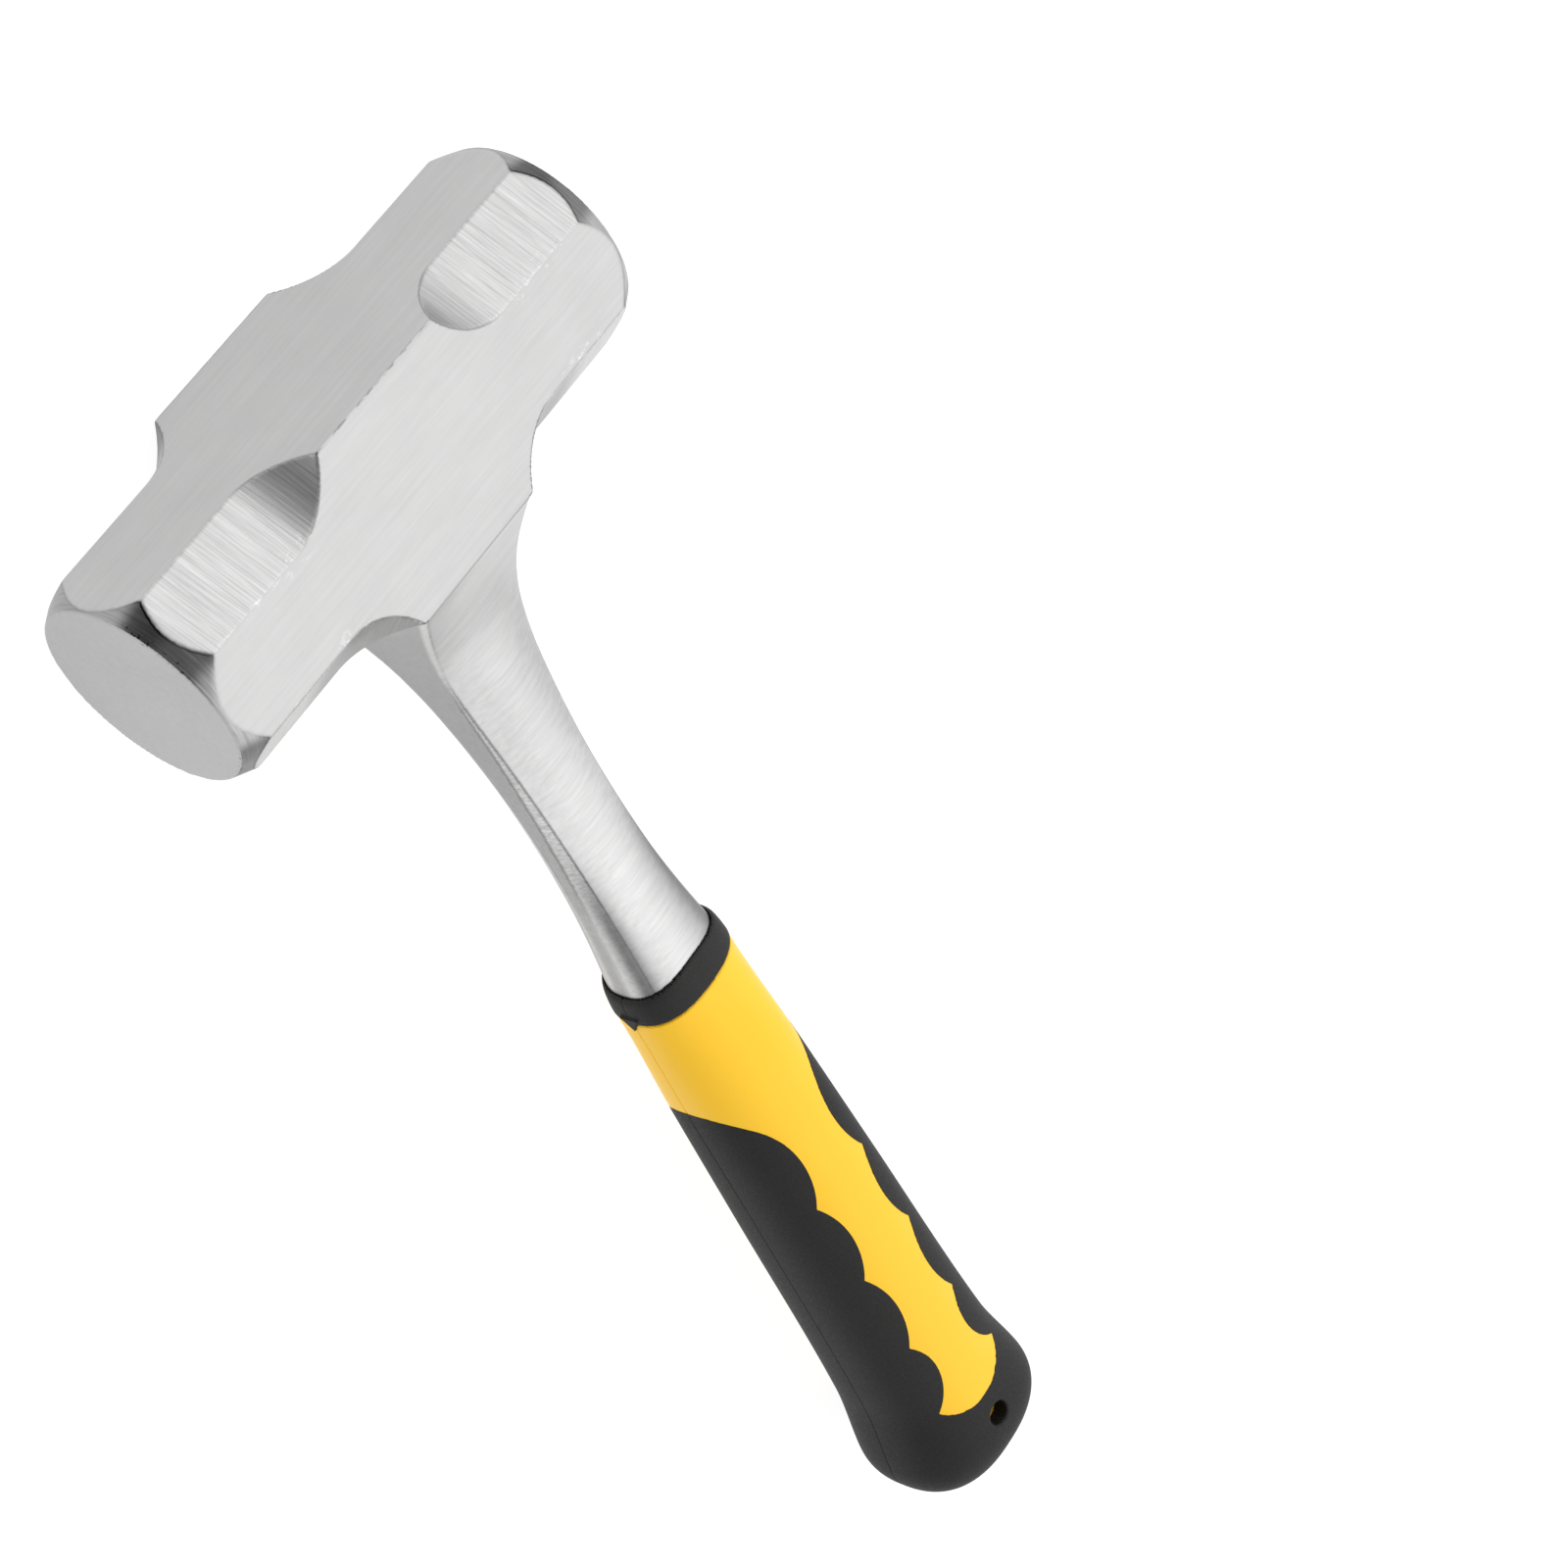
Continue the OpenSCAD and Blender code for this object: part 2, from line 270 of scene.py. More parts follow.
def window(x, y):
    """The yellow window's outline, seen square to the cheek, negative inside it."""
    y = np.abs(y)
    lobe_r = arc_radius(LOBE_PITCH / 2, LOBE_RISE)
    lobe_y = CUSP_HALF - LOBE_RISE + lobe_r
    first_x = LAST_CUSP - 2.5 * LOBE_PITCH
    panel = np.hypot(x - LAST_CUSP - LAST_LOBE_RUN, y - CUSP_HALF + LOBE_RISE - LAST_LOBE_R) - LAST_LOBE_R
    for i in range(3):
        panel = np.minimum(panel, np.hypot(x - first_x - i * LOBE_PITCH, y - lobe_y) - lobe_r)
    back = x - first_x + lobe_r * math.sin(FRONT_SLANT)
    out = y - lobe_y + lobe_r * math.cos(FRONT_SLANT)
    slanted = -back * math.sin(FRONT_SLANT) - out * math.cos(FRONT_SLANT)
    forward = -back * math.cos(FRONT_SLANT) + out * math.sin(FRONT_SLANT)
    panel = np.minimum(panel, np.maximum(slanted, -forward))
    middle = WINDOW_END - WINDOW_END_R
    whole = np.minimum(x - middle, np.hypot(x - middle, y) - WINDOW_END_R)
    return both(whole, -panel, WINDOW_ROUND)


def seam(y, z):
    """Depth of the mould's parting line, along both edges of the grip."""
    return SEAM_DEEP * np.exp(-(z / SEAM_HALF) ** 2) * (np.abs(y) > SEAM_FROM)


def hang_hole(x, y):
    """Distance into the hang hole, negative outside it."""
    return HANG_R - np.hypot(x - HANG_X, y)


def soft_wall(x, y):
    """Thickness of the overmould, which is thicker round the hang hole."""
    return SOFT_WALL + HOLE_WALL * (1 - ease(-hang_hole(x, y), 1, 5))


def overmould(x, y, z):
    """Soft skin of the grip, with both windows and the hang hole cut out."""
    skin = grip_body(x, y, z, 0) + seam(y, z)
    shell = both(skin, -window(x, y), RIM_ROUND)
    shell = both(shell, hang_hole(x, y), 0.5)
    return np.maximum(shell, -grip_body(x, y, z, soft_wall(x, y)))


WINDOW_UNDER = 0.3      # how far the core's windows reach under the overmould's edge
WINDOW_DROP = 0.06      # how far they lie below its surface


def core(x, y, z):
    """Hard plastic under the skin, which fills the windows and goes round the tang."""
    skin = grip_body(x, y, z, WINDOW_DROP) + seam(y, z)
    inlay = both(skin, window(x, y) - WINDOW_UNDER, 0.15)
    inlay = both(inlay, GRIP_X + 0.15 - x, 0.3)
    heart = both(grip_body(x, y, z, soft_wall(x, y) + 0.05), GRIP_X + 2 * SOFT_WALL - x, 0.3)
    body = np.minimum(inlay, heart)
    half_wide, half_thick, length = TANG
    cavity = np.maximum(np.maximum(np.abs(y) - half_wide, np.abs(z) - half_thick), x - SEAT_X - length)
    for hole_x in LOCK_X:
        cavity = np.maximum(cavity, LOCK_R - np.hypot(x - hole_x, y))
    return both(np.maximum(body, -cavity), hang_hole(x, y), 0.2)


COLLAR_LIP = 0.6        # height of the collar over the shank at its front
COLLAR_BOW = 1.6        # how far its front edge bows back at the sides
TOOTH_HALF, TOOTH_LONG = 1.2, 2     # half width and half length of the small tooth on the mould seam
TOOTH_Y = (-14.9, -13.6)
NOSE = (11.5, 8.5)      # half width and half depth of the hole behind the shank's end
COLLAR_AT = (COLLAR_X - 1, COLLAR_X + 3.2, GRIP_X)
collar_wide = curve(list(zip(COLLAR_AT, (float(shank_half(0, COLLAR_X)) + COLLAR_LIP, 14.1, 14.5))))
collar_deep = curve(list(zip(COLLAR_AT, (float(shank_half(1, COLLAR_X)) + COLLAR_LIP, 11.0, 11.3))))


def collar(x, y, z):
    """Rubber ring between the shank and the grip, with its tooth."""
    skin, _ = oval(y, z, collar_wide(x), collar_deep(x), GRIP_POWER)
    skin = skin + seam(y, z)
    front = COLLAR_X - 0.6 + COLLAR_BOW * (y / 13) ** 2 - x
    ring = both(both(skin, front, 1.0), x - GRIP_X, 0.5)
    tooth = np.maximum(np.abs(z) + 0.6 * (x - GRIP_X) - TOOTH_HALF, np.abs(x - GRIP_X) - TOOTH_LONG)
    tooth = np.maximum(tooth, np.maximum(y - TOOTH_Y[1], TOOTH_Y[0] - y))
    ring = np.minimum(ring, tooth)
    bore, _ = oval(y, z, shank_half(0, x) + 0.15, shank_half(1, x) + 0.15, GRIP_POWER)
    nose, _ = oval(y, z, *NOSE, GRIP_POWER)
    hole = np.minimum(np.maximum(bore, x - SEAT_X), nose)
    return both(ring, -hole, 0.25)


# ---------------------------------------------------------------- meshing
def lines(*stretches):
    """Grid lines through stretches of the form (start, end, step)."""
    coarse = 1
    parts = [
        np.linspace(a, b, max(2, round((b - a) / step / coarse)), endpoint=False) for a, b, step in stretches
    ]
    return np.concatenate(parts + [[stretches[-1][1]]])


def sample(field, xs, ys, zs, block=16):
    """The field on a grid. A block far from the surface holds its middle's value."""
    made = np.empty((len(xs), len(ys), len(zs)), np.float32)
    for i in range(0, len(xs), block):
        x = xs[i:i + block]
        for j in range(0, len(ys), block):
            y = ys[j:j + block]
            for k in range(0, len(zs), block):
                z = zs[k:k + block]
                reach = math.dist((x[0], y[0], z[0]), (x[-1], y[-1], z[-1])) / 2
                middle = [np.array([(v[0] + v[-1]) / 2]) for v in (x, y, z)]
                value = float(field(*middle)[0])
                if abs(value) < 1.5 * reach + 1:
                    value = field(x[:, None, None], y[None, :, None], z[None, None, :])
                made[i:i + block, j:j + block, k:k + block] = value
    return made


RIM_REACH = 1.3         # how near the edge round the windows a point must be to move onto it
BOX_LOW = np.array(cad_low) / MM - (0, 0, AXIS)
BOX_HIGH = np.array(cad_high) / MM - (0, 0, AXIS)
CORNERS = [(i, j, k) for i in (0, 1) for j in (0, 1) for k in (0, 1)]


def net(field, xs, ys, zs):
    """Closed mesh of quads near the field's surface, with one point in each grid cell that it crosses."""
    values = sample(field, xs, ys, zs)
    inside = values < 0
    count = np.zeros([n - 1 for n in values.shape], np.int8)
    for i, j, k in CORNERS:
        count += inside[i:i + count.shape[0], j:j + count.shape[1], k:k + count.shape[2]]
    cells = np.argwhere((count > 0) & (count < 8))
    number = np.full(count.shape, -1, np.int32)
    number[tuple(cells.T)] = np.arange(len(cells))
    total, hits = np.zeros((len(cells), 3)), np.zeros((len(cells), 1))
    for a in CORNERS:
        for axis in range(3):
            if a[axis]:
                continue
            b = tuple(a[n] + (n == axis) for n in range(3))
            ia, ib = cells + a, cells + b
            fa, fb = values[tuple(ia.T)], values[tuple(ib.T)]
            cut = ((fa < 0) != (fb < 0))[:, None]
            share = (fa / np.where(fa == fb, 1, fa - fb))[:, None]
            pa = np.stack([xs[ia[:, 0]], ys[ia[:, 1]], zs[ia[:, 2]]], 1)
            pb = np.stack([xs[ib[:, 0]], ys[ib[:, 1]], zs[ib[:, 2]]], 1)
            total += np.where(cut, pa + share * (pb - pa), 0)
            hits += cut
    points = total / hits
    quads = []
    for axis in range(3):
        u, v = (axis + 1) % 3, (axis + 2) % 3
        low = np.take(inside, range(values.shape[axis] - 1), axis)
        high = np.take(inside, range(1, values.shape[axis]), axis)
        at = np.argwhere(low != high)
        at = at[(at[:, u] > 0) & (at[:, v] > 0)]
        at = at[(at[:, u] < count.shape[u]) & (at[:, v] < count.shape[v])]
        ring = []
        for du, dv in ((1, 1), (0, 1), (0, 0), (1, 0)):
            cell = at.copy()
            cell[:, u] -= du
            cell[:, v] -= dv
            ring.append(number[tuple(cell.T)])
        ring = np.stack(ring, 1)
        outward = low[tuple(at.T)]
        quads.append(np.where(outward[:, None], ring, ring[:, ::-1]))
    return points, np.concatenate(quads)


def gradient(field, points, step=0.02):
    """Slope of the field along x, y and z at each point."""
    made = np.empty_like(points)
    for axis in range(3):
        ahead, behind = points.copy(), points.copy()
        ahead[:, axis] += step
        behind[:, axis] -= step
        made[:, axis] = (field(*ahead.T) - field(*behind.T)) / (2 * step)
    return made


def snap(field, points, rounds):
    """Moves the points onto the field's surface."""
    for _ in range(rounds):
        slope = gradient(field, points)
        size = np.maximum((slope ** 2).sum(1), 0.04)
        shift = -(field(*points.T) / size)[:, None] * slope
        reach = np.linalg.norm(shift, axis=1, keepdims=True)
        points = points + shift * np.minimum(1, 0.4 / np.maximum(reach, 1e-9))
    return points


def relax(points, quads, amount):
    """Moves each point part of the way to the middle of its neighbours."""
    middle = points[quads].mean(1)
    total = np.stack([
        np.bincount(quads.ravel(), np.repeat(middle[:, n], 4), len(points)) for n in range(3)
    ], 1)
    near = total / np.bincount(quads.ravel(), minlength=len(points))[:, None]
    return points + amount * (near - points)


def rim(points, quads):
    """Moves points onto the edge round the windows so that no quad crosses it, and says which."""
    skin = partial(grip_body, inset=0)
    gaps = np.abs(np.stack([window(points[:, 0], points[:, 1]), skin(*points.T)]))
    on_wall, reach = gaps[0] < gaps[1], gaps.max(0)
    moved = np.zeros(len(points), bool)
    for i, j in ((0, 1), (1, 2), (2, 3), (3, 0), (0, 2), (1, 3)):
        a, b = quads[:, i], quads[:, j]
        crossing = (on_wall[a] != on_wall[b]) & (np.maximum(reach[a], reach[b]) < RIM_REACH)
        nearer = np.where(reach[a] < reach[b], a, b)
        moved[nearer[crossing]] = True
    for field in (lambda x, y, z: window(x, y), skin) * 3:
        slope = gradient(field, points[moved])
        size = np.maximum((slope ** 2).sum(1), 0.2)
        points[moved] -= (field(*points[moved].T) / size)[:, None] * slope
    return points, moved


def build(name, field, xs, ys, zs, node, rimmed=False):
    """A piece that stands for a CAD node, meshed from its field."""
    points, quads = net(field, xs, ys, zs)
    points = snap(field, points, 2)
    for _ in range(2):
        points = snap(field, relax(points, quads, 0.5), 2)
    points = np.clip(points, BOX_LOW, BOX_HIGH)
    normals = gradient(field, points, 0.08)
    if rimmed:
        points, moved = rim(points, quads)
        normals[moved] = gradient(partial(grip_body, inset=0), points[moved])
    normals /= np.maximum(np.linalg.norm(normals, axis=1, keepdims=True), 1e-9)
    mesh = bpy.data.meshes.new(name)
    mesh.vertices.add(len(points))
    placed = (points + (0, 0, AXIS)) * MM
    mesh.vertices.foreach_set("co", placed.astype(np.float32).ravel())
    mesh.loops.add(quads.size)
    mesh.loops.foreach_set("vertex_index", quads.astype(np.int32).ravel())
    mesh.polygons.add(len(quads))
    mesh.polygons.foreach_set("loop_start", np.arange(0, quads.size, 4, dtype=np.int32))
    mesh.update(calc_edges=True)
    mesh.validate()
    mesh.shade_smooth()
    mesh.normals_split_custom_set_from_vertices(normals.astype(np.float32))
    piece = bpy.data.objects.new(name, mesh)
    bpy.context.scene.collection.objects.link(piece)
    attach(piece, "root")
    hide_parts(node)
    return piece, points


def mark(piece, name, values):
    """Stores a number for each point of the piece, for its material to read."""
    layer = piece.data.attributes.new(name, "FLOAT", "POINT")
    layer.data.foreach_set("value", np.asarray(values, np.float32))


# ---------------------------------------------------------------- materials
STEEL, STEEL_ROUGHNESS = 0.465, 0.34
GOLDEN, LEMON = (0.98, 0.56, 0.008), (0.98, 0.58, 0.016)    # between which the plastic wanders
BLACK, SOFT_BLACK = 0.008, 0.014                            # levels of the grip's and collar's rubber


class Nodes:
    """Short way to write a material's nodes."""

    def __init__(self, name, colour, metallic, roughness):
        self.material = bpy.data.materials.new(name)
        self.material.use_nodes = True
        self.tree = self.material.node_tree
        self.shader = self.tree.nodes["Principled BSDF"]
        self.set("Base Color", (*colour, 1))
        self.set("Metallic", metallic)
        self.set("Roughness", roughness)
        self.place = self.add("ShaderNodeTexCoord").outputs["Object"]

    def set(self, socket, value):
        """Gives a socket of the shader a value, or the output of a node."""
        if isinstance(value, bpy.types.NodeSocket):
            self.tree.links.new(value, self.shader.inputs[socket])
        else:
            self.shader.inputs[socket].default_value = value

    def add(self, kind, values=(), **settings):
        made = self.tree.nodes.new(kind)
        for key, value in settings.items():
            setattr(made, key, value)
        for socket, value in enumerate(values):
            if isinstance(value, bpy.types.NodeSocket):
                self.tree.links.new(value, made.inputs[socket])
            elif value is not None:
                made.inputs[socket].default_value = value
        return made

    def math(self, operation, *values):
        return self.add("ShaderNodeMath", values, operation=operation).outputs[0]

    def mix(self, share, a, b):
        """a where share is 0 and b where it is 1, for numbers."""
        return self.add("ShaderNodeMix", (share, None, a, b), data_type="FLOAT").outputs[0]

    def mark(self, name):
        return self.add("ShaderNodeAttribute", attribute_name=name).outputs["Fac"]

    def noise(self, scale, detail=2.0, roughness=0.5):
        """Noise with that many features in a metre along x, y and z."""
        if not isinstance(scale, tuple):
            scale = (scale,) * 3
        place = self.add("ShaderNodeVectorMath", (self.place, scale), operation="MULTIPLY").outputs[0]
        made = self.add("ShaderNodeTexNoise")
        made.inputs["Scale"].default_value = 1
        made.inputs["Detail"].default_value = detail
        made.inputs["Roughness"].default_value = roughness
        self.tree.links.new(place, made.inputs["Vector"])
        return made.outputs["Fac"]

    def ramp(self, value, low, high, to_low=0.0, to_high=1.0):
        made = self.add("ShaderNodeMapRange", (value, low, high, to_low, to_high))
        made.interpolation_type = "SMOOTHSTEP"
        return made.outputs[0]

    def grey(self, value, tint):
        """A colour of that brightness."""
        made = self.add("ShaderNodeVectorMath", (tint, None), operation="SCALE")
        self.tree.links.new(value, made.inputs["Scale"])
        return made.outputs[0]

    def bump(self, height, strength, distance):
        made = self.add("ShaderNodeBump")
        made.inputs["Strength"].default_value = strength
        made.inputs["Distance"].default_value = distance
        self.tree.links.new(height, made.inputs["Height"])
        self.set("Normal", made.outputs[0])


class Steel(Nodes):
    """Ground steel, whose parts are told apart by the marks on the forging's points."""

    def __init__(self):
        super().__init__("brushed_steel", (STEEL,) * 3, 1.0, STEEL_ROUGHNESS)
        self.times, self.plus, self.less = (
            partial(self.math, kind) for kind in ("MULTIPLY", "ADD", "SUBTRACT")
        )
        self.ragged = self.less(self.noise(1100, 2), 0.5)
        self.face = self.zone("face", 0.3, 0.08)
        self.off_face = self.less(1.0, self.face)
        self.bevel = self.times(self.zone("bevel", 0.2, 0.12), self.off_face)
        sides = self.times(self.less(1.0, self.bevel), self.off_face)
        self.facet = self.times(self.zone("facet", 0.22, 0.08), sides)
        self.edges = self.mark("edges")
        strip = self.times(self.zone("ridge", 0.3, 0.1), self.less(1.0, self.zone("brink", 0.3, 0.1)))
        self.strip = self.times(strip, self.edges)
        self.corner = self.mark("corner")

    def total(self, start, *parts):
        """start plus each part, of the form (value, weight)."""
        for value, weight in parts:
            start = self.plus(self.times(value, weight), start)
        return start

    def zone(self, name, wander, soft):
        """1 on the side of an edge where the mark is positive, with a ragged border."""
        return self.ramp(self.plus(self.mark(name), self.times(self.ragged, wander)), -soft, soft)

    def line(self, name, wander, width):
        """1 along an edge and 0 beside it."""
        distance = self.math("ABSOLUTE", self.plus(self.mark(name), self.times(self.ragged, wander)))
        return self.ramp(distance, 0.0, width, 1.0, 0.0)

    def scratches(self):
        """Streaks along the head, strokes across its facets and short marks on the corner strips."""
        streaks = self.less(self.noise((1000, 40, 1000), 4, 0.7), 0.5)
        strokes = self.less(self.noise((70, 2300, 70), 4, 0.66), 0.5)
        marks = self.less(self.noise((2600, 500, 500), 3, 0.6), 0.5)
        ground = self.mix(self.plus(self.facet, self.bevel), streaks, strokes)
        depth = self.total(
            0.32, (self.facet, 1.05), (self.bevel, 1.3), (self.mark("shank"), 0.3), (self.strip, 0.9)
        )
        return self.times(self.mix(self.strip, ground, marks), depth)

    def darkening(self):
        """How far the bevels, the faces, the edges and their nicks and pits are darkened, with painted shade
        on the bevel's sides that face along the handle.
        """
        # The 'ends' weight is painted shade on the bevel's sides facing along the handle.
        bevel = self.times(self.bevel, self.total(0.12, (self.corner, 0.48), (self.mark("ends"), 0.21)))
        arc = self.times(self.line("facet", 0.3, 0.35), self.mark("arc"))
        outline = self.times(self.line("bevel", 0.2, 0.3), self.off_face)
        crease = self.times(self.line("crease", 0.5, 0.45), self.mark("boss"))
        nicks = self.times(crease, self.ramp(self.noise((1500, 260, 1500), 3, 0.7), 0.44, 0.56))
        rims = self.plus(self.line("ridge", 0.25, 0.34), self.line("brink", 0.25, 0.3))
        pits = self.times(self.ramp(self.noise(1500, 2), 0.6, 0.7), self.line("face", 0.5, 1.3))
        return self.total(
            bevel, (self.face, 0.13), (self.mark("band"), 0.6), (arc, 0.42),
            (outline, self.total(0.1, (self.corner, 0.24))), (nicks, 0.5),
            (self.times(rims, self.edges), 0.5), (self.times(pits, self.corner), 0.6),
        )

    def chipping(self):
        """1 on the bright chips along the facets' edges."""
        spots = self.ramp(self.noise((900, 380, 900), 4, 0.75), 0.54, 0.62)
        thin = self.times(self.times(spots, self.line("facet", 0.5, 0.7)), self.mark("chipped"))
        broad = self.times(self.times(spots, self.line("facet", 1.2, 2.4)), self.mark("spall"))
        return self.math("MAXIMUM", thin, broad)


def steel():
    """Ground and brushed steel, with dark bevels and bright chips."""
    made = Steel()
    scratches, chips = made.scratches(), made.chipping()
    clouds = made.less(made.noise(80, 3, 0.55), 0.5)
    speckle = made.times(made.less(made.noise(1500, 2), 0.5), made.strip)
    grain = made.total(1.0, (scratches, 0.8), (clouds, 0.1), (speckle, 0.5))
    level = made.total(1.0, (made.darkening(), -1.0), (chips, 0.3), (made.facet, 0.1))
    # The forging's painted light and shade, stored on its points, scales the steel's colour here.
    shade = made.times(made.times(grain, level), made.mark("painted_light_and_shade"))
    made.set("Base Color", made.grey(made.times(shade, STEEL), (1.0, 1.0, 0.997)))
    made.set("Roughness", made.total(STEEL_ROUGHNESS, (scratches, 0.15)))
    made.bump(made.total(scratches, (chips, 0.8)), 0.4, 0.0001)
    return made.material


def plastic():
    """Smooth moulded yellow plastic."""
    made = Nodes("yellow_plastic", GOLDEN, 0.0, 0.36)
    clouds = made.noise(70, 3, 0.5)
    fine = made.noise(1600, 2, 0.5)
    colour = made.add("ShaderNodeMix", data_type="RGBA")
    made.tree.links.new(clouds, colour.inputs["Factor"])
    colour.inputs["A"].default_value = (*GOLDEN, 1)
    colour.inputs["B"].default_value = (*LEMON, 1)
    made.set("Base Color", colour.outputs["Result"])
    made.set("Roughness", made.ramp(fine, 0.3, 0.7, 0.33, 0.42))
    made.set("Specular IOR Level", 0.28)
    made.bump(fine, 0.12, 0.00006)
    return made.material


def rubber(name, level):
    """Matte black rubber with a fine spark-eroded grain."""
    made = Nodes(name, (level,) * 3, 0.0, 0.6)
    grain = made.noise(2200, 2, 0.6)
    clouds = made.noise(60, 3, 0.5)
    shade = made.ramp(clouds, 0.3, 0.7, 0.92, 1.08)
    made.set("Base Color", made.grey(made.math("MULTIPLY", shade, level), (1.0, 1.0, 0.97)))
    made.set("Specular IOR Level", 0.25)
    made.set("Roughness", made.ramp(grain, 0.3, 0.7, 0.55, 0.68))
    made.bump(grain, 0.35, 0.00008)
    return made.material


# ---------------------------------------------------------------- pieces
MARK_REACH = 3          # distance in millimetres at which an edge's mark stops growing


def mark_head(piece, points, on_shank):
    """Marks for the head's facets, bevels, faces and edges."""
    x, y, z = points.T
    far_x, far_y, far_z = np.abs(points).T
    flats, scoop, bevel, face = head_parts(x, y, z)
    edges = {"facet": scoop - flats, "bevel": bevel - np.maximum(flats, scoop), "face": face - bevel}
    for name, distance in edges.items():
        near = np.clip(distance, -MARK_REACH, MARK_REACH)
        mark(piece, name, near * (1 - on_shank) - MARK_REACH * on_shank)
    mark(piece, "arc", 1 - ease(far_y, SCOOP_Y - 6, SCOOP_Y))
    mark(piece, "crease", np.clip(far_x - far_z, -MARK_REACH, MARK_REACH))
    mark(piece, "boss", 1 - np.maximum(ease(far_y, BOSS / 2 - 2, BOSS / 2 + 1), ease(x, 0, 1)))
    cheek_side = ease(far_z - far_x, -1, 1)
    mark(piece, "chipped", cheek_side * ease(far_y, 24, 28) * (1 - ease(far_y, 54, 56)))
    near_spall = ease(-y, 26, 29) * (1 - ease(-y, 33, 38))
    far_spall = ease(y, 32, 35) * (1 - ease(y, 44, 50))
    mark(piece, "spall", cheek_side * np.maximum(near_spall, far_spall))
    skew = np.minimum(far_x, far_z) / np.maximum(np.maximum(far_x, far_z), 1)
    mark(piece, "corner", ease(skew, 0.34, 0.53) * (1 - ease(-x, 0, 5) * ease(-z, 0, 5)))
    # Painted shade: 1 on the bevel's sides that face along the handle, which the steel darkens more than its
    # cheek sides.
    mark(piece, "ends", ease(far_x - far_z, -2, 4))


def mark_shank(piece, points, on_shank):
    """Marks for the shank, the ridges beside its corner strips and the dark band by the collar."""
    x, y, z = points.T
    front, corner, side = shank_parts(x, y, z)
    for name, distance in (("ridge", corner - front), ("brink", side - corner)):
        near = np.clip(distance, -MARK_REACH, MARK_REACH)
        mark(piece, name, np.where(x > HALF, near, -MARK_REACH))
    mark(piece, "shank", on_shank)
    mark(piece, "band", on_shank * ease(x, 92, 125) * np.exp(-((corner - front - 0.7) / 1.9) ** 2))
    mark(piece, "edges", ease(x, 42, 56) * (1 - 0.7 * ease(x, 100, 125)))


def paint_steel_light_and_shade(points, on_shank):
    """Painted light and shade on the steel by place: painted shade in the scoops, under the cheeks and on
    the shank's narrow sides, and a painted highlight on the shank's front and back.
    """
    x, y, z = points.T
    far_y, far_z = np.abs(y), np.abs(z)
    flats, scoop, _, _ = head_parts(x, y, z)
    _, corner, side = shank_parts(x, y, z)
    # Painted shade in the scoops: a little in all of them, much more in the lower ones by the floor, and
    # most on the side away from the handle.
    wall = ease(SCOOP_Y - far_y, 3, 12) * ease(scoop - flats, -0.2, 0.3) * (1 - on_shank)
    wall = wall * (0.06 + 0.5 * (z < 0) + 0.2 * (z < 0) * (x < 0))
    # Painted shade on the head's face toward the handle, round the shank's root and its fillet.
    below = ease(x, 5, 14) * ease(far_y, 8, 14) * ease(46 - far_y, 0, 12) * (far_z < HALF - 0.2)
    # Painted shade on the shank's narrow sides, which face away from the light.
    narrow = ease(side - corner, -0.1, 0.3) * ease(x, HALF - 1, HALF + 3)
    # Painted highlight on the shank's front and back, growing toward the collar, and painted shade on their
    # +y half near the collar, where they round off.
    lit = (1 - narrow) * (0.15 - 0.09 * ease(x, 25, 55) + 0.14 * ease(x, 50, 130))
    lit = lit - 0.55 * ease(y / shank_half(0, x), -0.2, 0.8) * ease(x, 88, 134)
    head_painted_shade = 1 - wall - 0.46 * below * (1 - on_shank)
    return head_painted_shade + on_shank * lit - 0.38 * narrow * (1 - 0.4 * ease(x, 60, 120))


def shape_forging():
    piece, points = build(
        "forged_head", forging,
        lines((-22.2, 50, 0.6), (50, SEAT_X, 0.8), (SEAT_X, SEAT_X + 142, 1.2)),
        lines((-61.2, -53, 0.5), (-53, 53, 0.64), (53, 61.2, 0.5)),
        lines((-22.2, 22.2, 0.6)),
        "forging",
    )
    on_shank = ease(points[:, 0], HALF - 0.2, HALF + 0.8)
    mark_head(piece, points, on_shank)
    mark_shank(piece, points, on_shank)
    # Painted light and shade for the steel's colour.
    mark(piece, "painted_light_and_shade", paint_steel_light_and_shade(points, on_shank))
    piece.data.materials.append(steel())


def shape_grip():
    heights = lines((-20, -0.4, 0.6), (-0.4, 0.4, 0.13), (0.4, 20, 0.6))
    piece, _ = build(
        "yellow_core", core,
        lines((SEAT_X, 176, 0.8), (176, 298, 0.58), (298, 322, 0.8)), lines((-22, 22, 0.58)), heights,
        "grip_core",
    )
    piece.data.materials.append(plastic())
    piece, _ = build(
        "rubber_overmould", overmould,
        lines((170, 322.4, 0.6)), lines((-23, 23, 0.6)), heights,
        "grip_overmould", rimmed=True,
    )
    piece.data.materials.append(rubber("black_rubber", BLACK))


def shape_collar():
    piece, _ = build(
        "rubber_collar", collar,
        lines((COLLAR_X - 2, GRIP_X + 2, 0.3)), lines((-15.5, 15.5, 0.33)), lines((-12.5, 12.5, 0.33)),
        "collar_ring",
    )
    piece.data.materials.append(rubber("collar_rubber", SOFT_BLACK))


shape_forging()
shape_grip()
shape_collar()

# ---------------------------------------------------------------- floor, light and camera
FLOOR_SIZE, FLOOR_COLOUR, FLOOR_GLOW = 20, (0.18,) * 3, 0.94


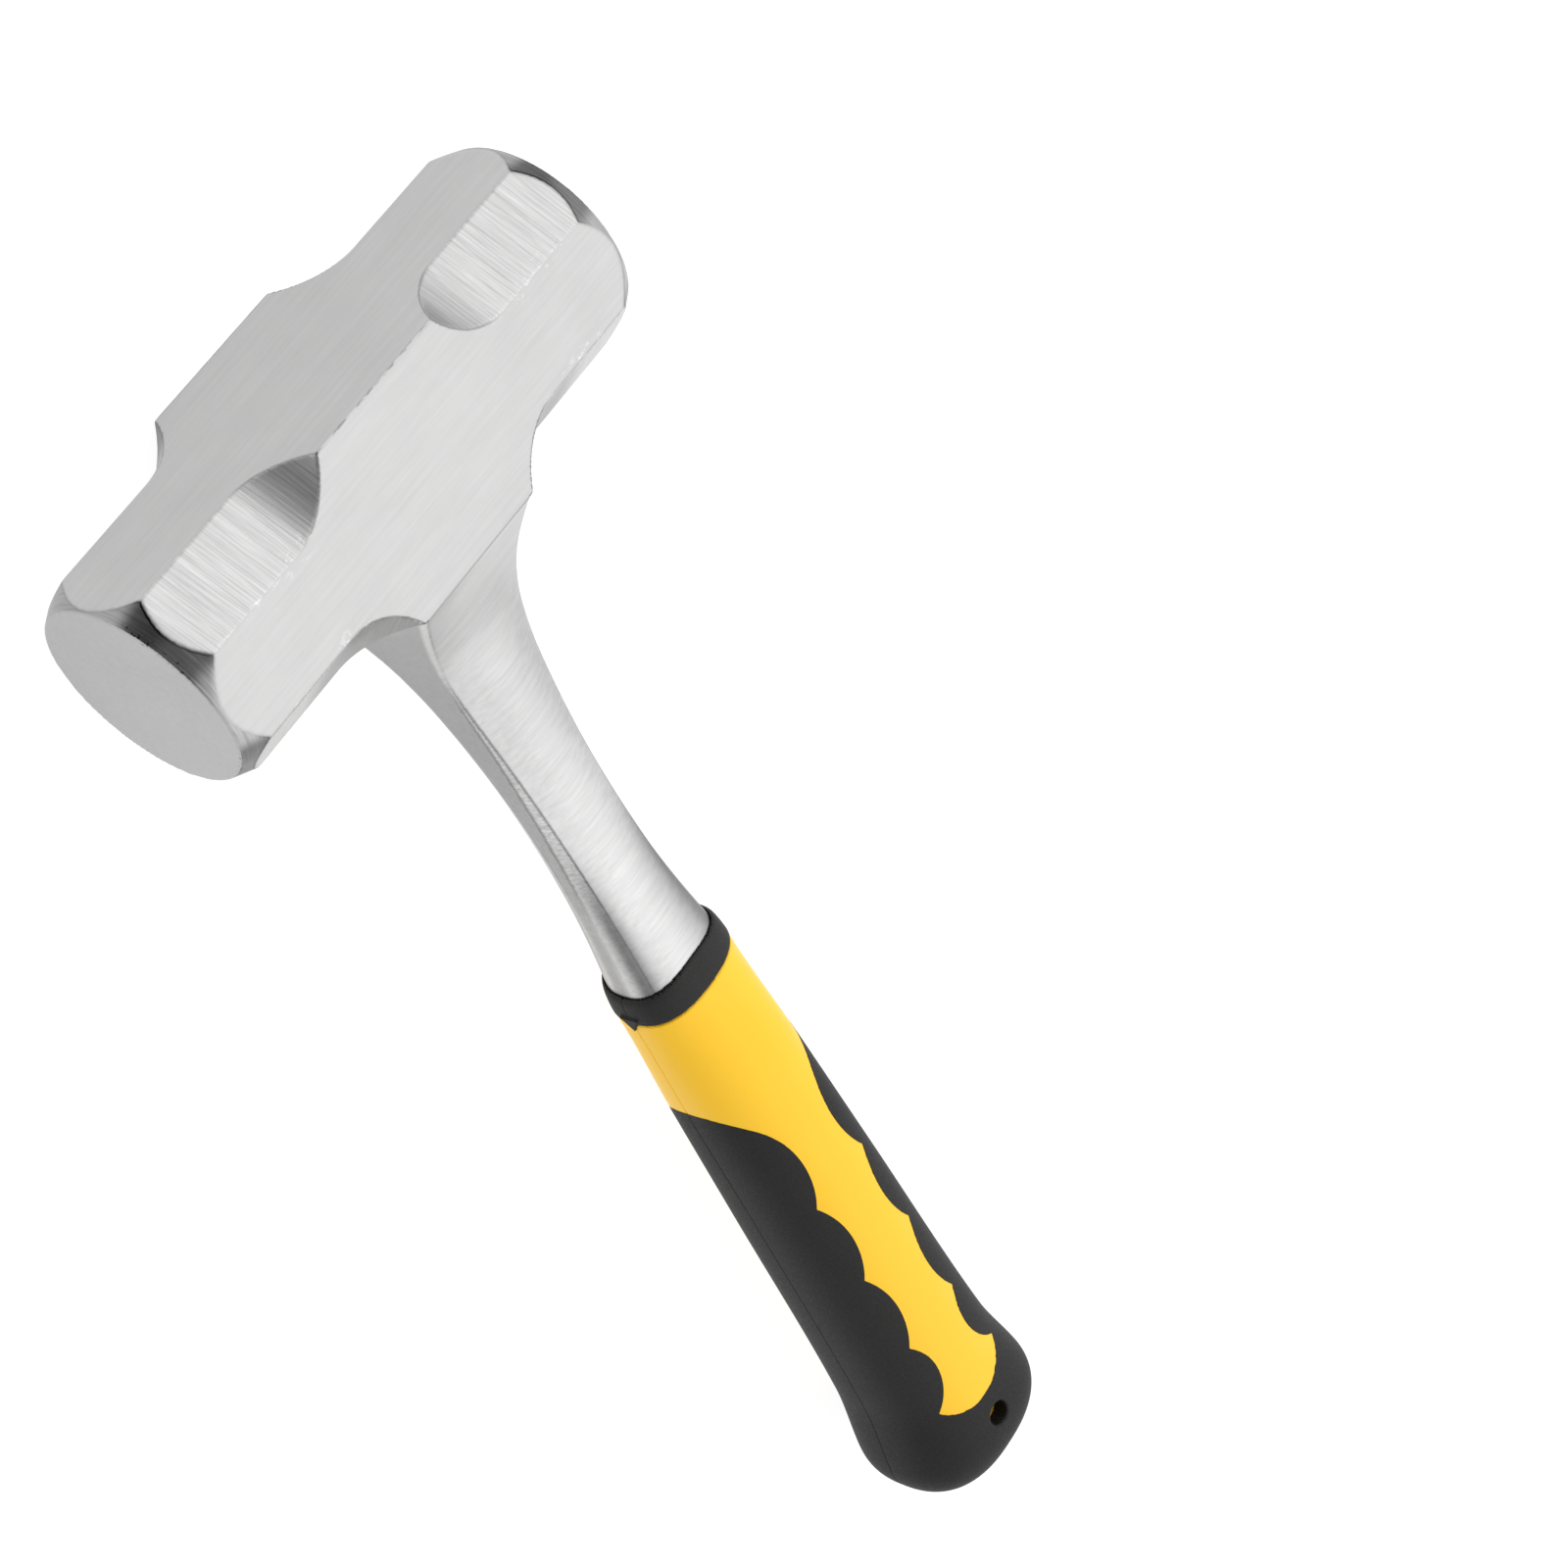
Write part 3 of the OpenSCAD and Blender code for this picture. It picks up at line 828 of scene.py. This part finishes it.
def floor():
    """Plain pale floor with a glow of its own, so that it stays nearly white."""
    mesh = bpy.data.meshes.new("floor")
    corners = [(a * FLOOR_SIZE, b * FLOOR_SIZE, 0) for a, b in ((-1, -1), (1, -1), (1, 1), (-1, 1))]
    mesh.from_pydata(corners, [], [(0, 1, 2, 3)])
    plane = bpy.data.objects.new("floor", mesh)
    bpy.context.scene.collection.objects.link(plane)
    made = Nodes("pale_floor", FLOOR_COLOUR, 0.0, 0.9)
    made.set("Specular IOR Level", 0.0)
    made.set("Emission Color", (1, 1, 1, 1))
    made.set("Emission Strength", FLOOR_GLOW)
    plane.data.materials.append(made.material)


LAMP_AIM = Vector((0.12, 0, 0.02))


def lamp(name, azimuth, elevation, distance, size, power):
    """A square soft light that looks at the hammer."""
    light = bpy.data.lights.new(name, "AREA")
    light.size = size
    light.energy = power
    made = bpy.data.objects.new(name, light)
    bpy.context.scene.collection.objects.link(made)
    a, e = math.radians(azimuth), math.radians(elevation)
    out = Vector((math.cos(e) * math.cos(a), math.cos(e) * math.sin(a), math.sin(e)))
    made.location = LAMP_AIM + out * distance
    made.rotation_euler = out.to_track_quat("Z", "Y").to_euler()


DARK_SIDE = Vector((-0.46, -0.815, 0.357))      # direction of the studio's darker side
DARK_SPREAD = (0.3, 0.95)       # cosines of the angles from it where the dark starts and is full
SKY_LEVEL, DARK_LEVEL = 1.42, 0.3
HORIZON_SHARE, HORIZON_TOP = 0.6, 0.5       # share of light at the horizon; height where it is whole


def world():
    """A bright studio all round, with one darker side that gives the steel its contrast."""
    made = bpy.data.worlds.new("studio")
    made.use_nodes = True
    tree = made.node_tree
    place = tree.nodes.new("ShaderNodeTexCoord")
    toward = tree.nodes.new("ShaderNodeVectorMath")
    toward.operation = "DOT_PRODUCT"
    toward.inputs[1].default_value = DARK_SIDE
    level = tree.nodes.new("ShaderNodeMapRange")
    level.interpolation_type = "SMOOTHSTEP"
    for socket, value in zip(level.inputs[1:5], (*DARK_SPREAD, SKY_LEVEL, DARK_LEVEL)):
        socket.default_value = value
    tree.links.new(place.outputs["Generated"], toward.inputs[0])
    tree.links.new(toward.outputs["Value"], level.inputs[0])
    height = tree.nodes.new("ShaderNodeSeparateXYZ")
    tree.links.new(place.outputs["Generated"], height.inputs[0])
    rise = tree.nodes.new("ShaderNodeMapRange")
    rise.interpolation_type = "SMOOTHSTEP"
    for socket, value in zip(rise.inputs[1:5], (0.0, HORIZON_TOP, HORIZON_SHARE, 1.0)):
        socket.default_value = value
    tree.links.new(height.outputs["Z"], rise.inputs[0])
    strength = tree.nodes.new("ShaderNodeMath")
    strength.operation = "MULTIPLY"
    tree.links.new(level.outputs[0], strength.inputs[0])
    tree.links.new(rise.outputs[0], strength.inputs[1])
    tree.nodes["Background"].inputs["Color"].default_value = (1, 1, 1, 1)
    tree.links.new(strength.outputs[0], tree.nodes["Background"].inputs["Strength"])
    bpy.context.scene.world = made


LENS, SENSOR = 87.397, 36
AIM = Vector((0.14195, 0.04752, 0.0215))
CAMERA_DISTANCE = 0.8002
CAMERA_AZIMUTH, CAMERA_ELEVATION = math.radians(-146.66), math.radians(38.96)
CAMERA_ROLL = math.radians(103.9)


def camera():
    """Camera at the photo's viewing angle."""
    data = bpy.data.cameras.new("camera")
    data.lens = LENS
    data.sensor_width = SENSOR
    data.clip_start, data.clip_end = 0.01, 50
    made = bpy.data.objects.new("camera", data)
    bpy.context.scene.collection.objects.link(made)
    level = math.cos(CAMERA_ELEVATION)
    back = Vector((
        level * math.cos(CAMERA_AZIMUTH), level * math.sin(CAMERA_AZIMUTH), math.sin(CAMERA_ELEVATION)
    ))
    turn = back.to_track_quat("Z", "Y").to_matrix() @ Matrix.Rotation(CAMERA_ROLL, 3, "Z")
    made.matrix_world = Matrix.Translation(AIM + back * CAMERA_DISTANCE) @ turn.to_4x4()
    bpy.context.scene.camera = made


floor()
lamp("key", 40, 55, 1.4, 1.2, 0.8)
lamp("fill", 150, 45, 1.6, 1.2, 0.8)
world()
camera()
bpy.context.scene.view_settings.view_transform = "Standard"
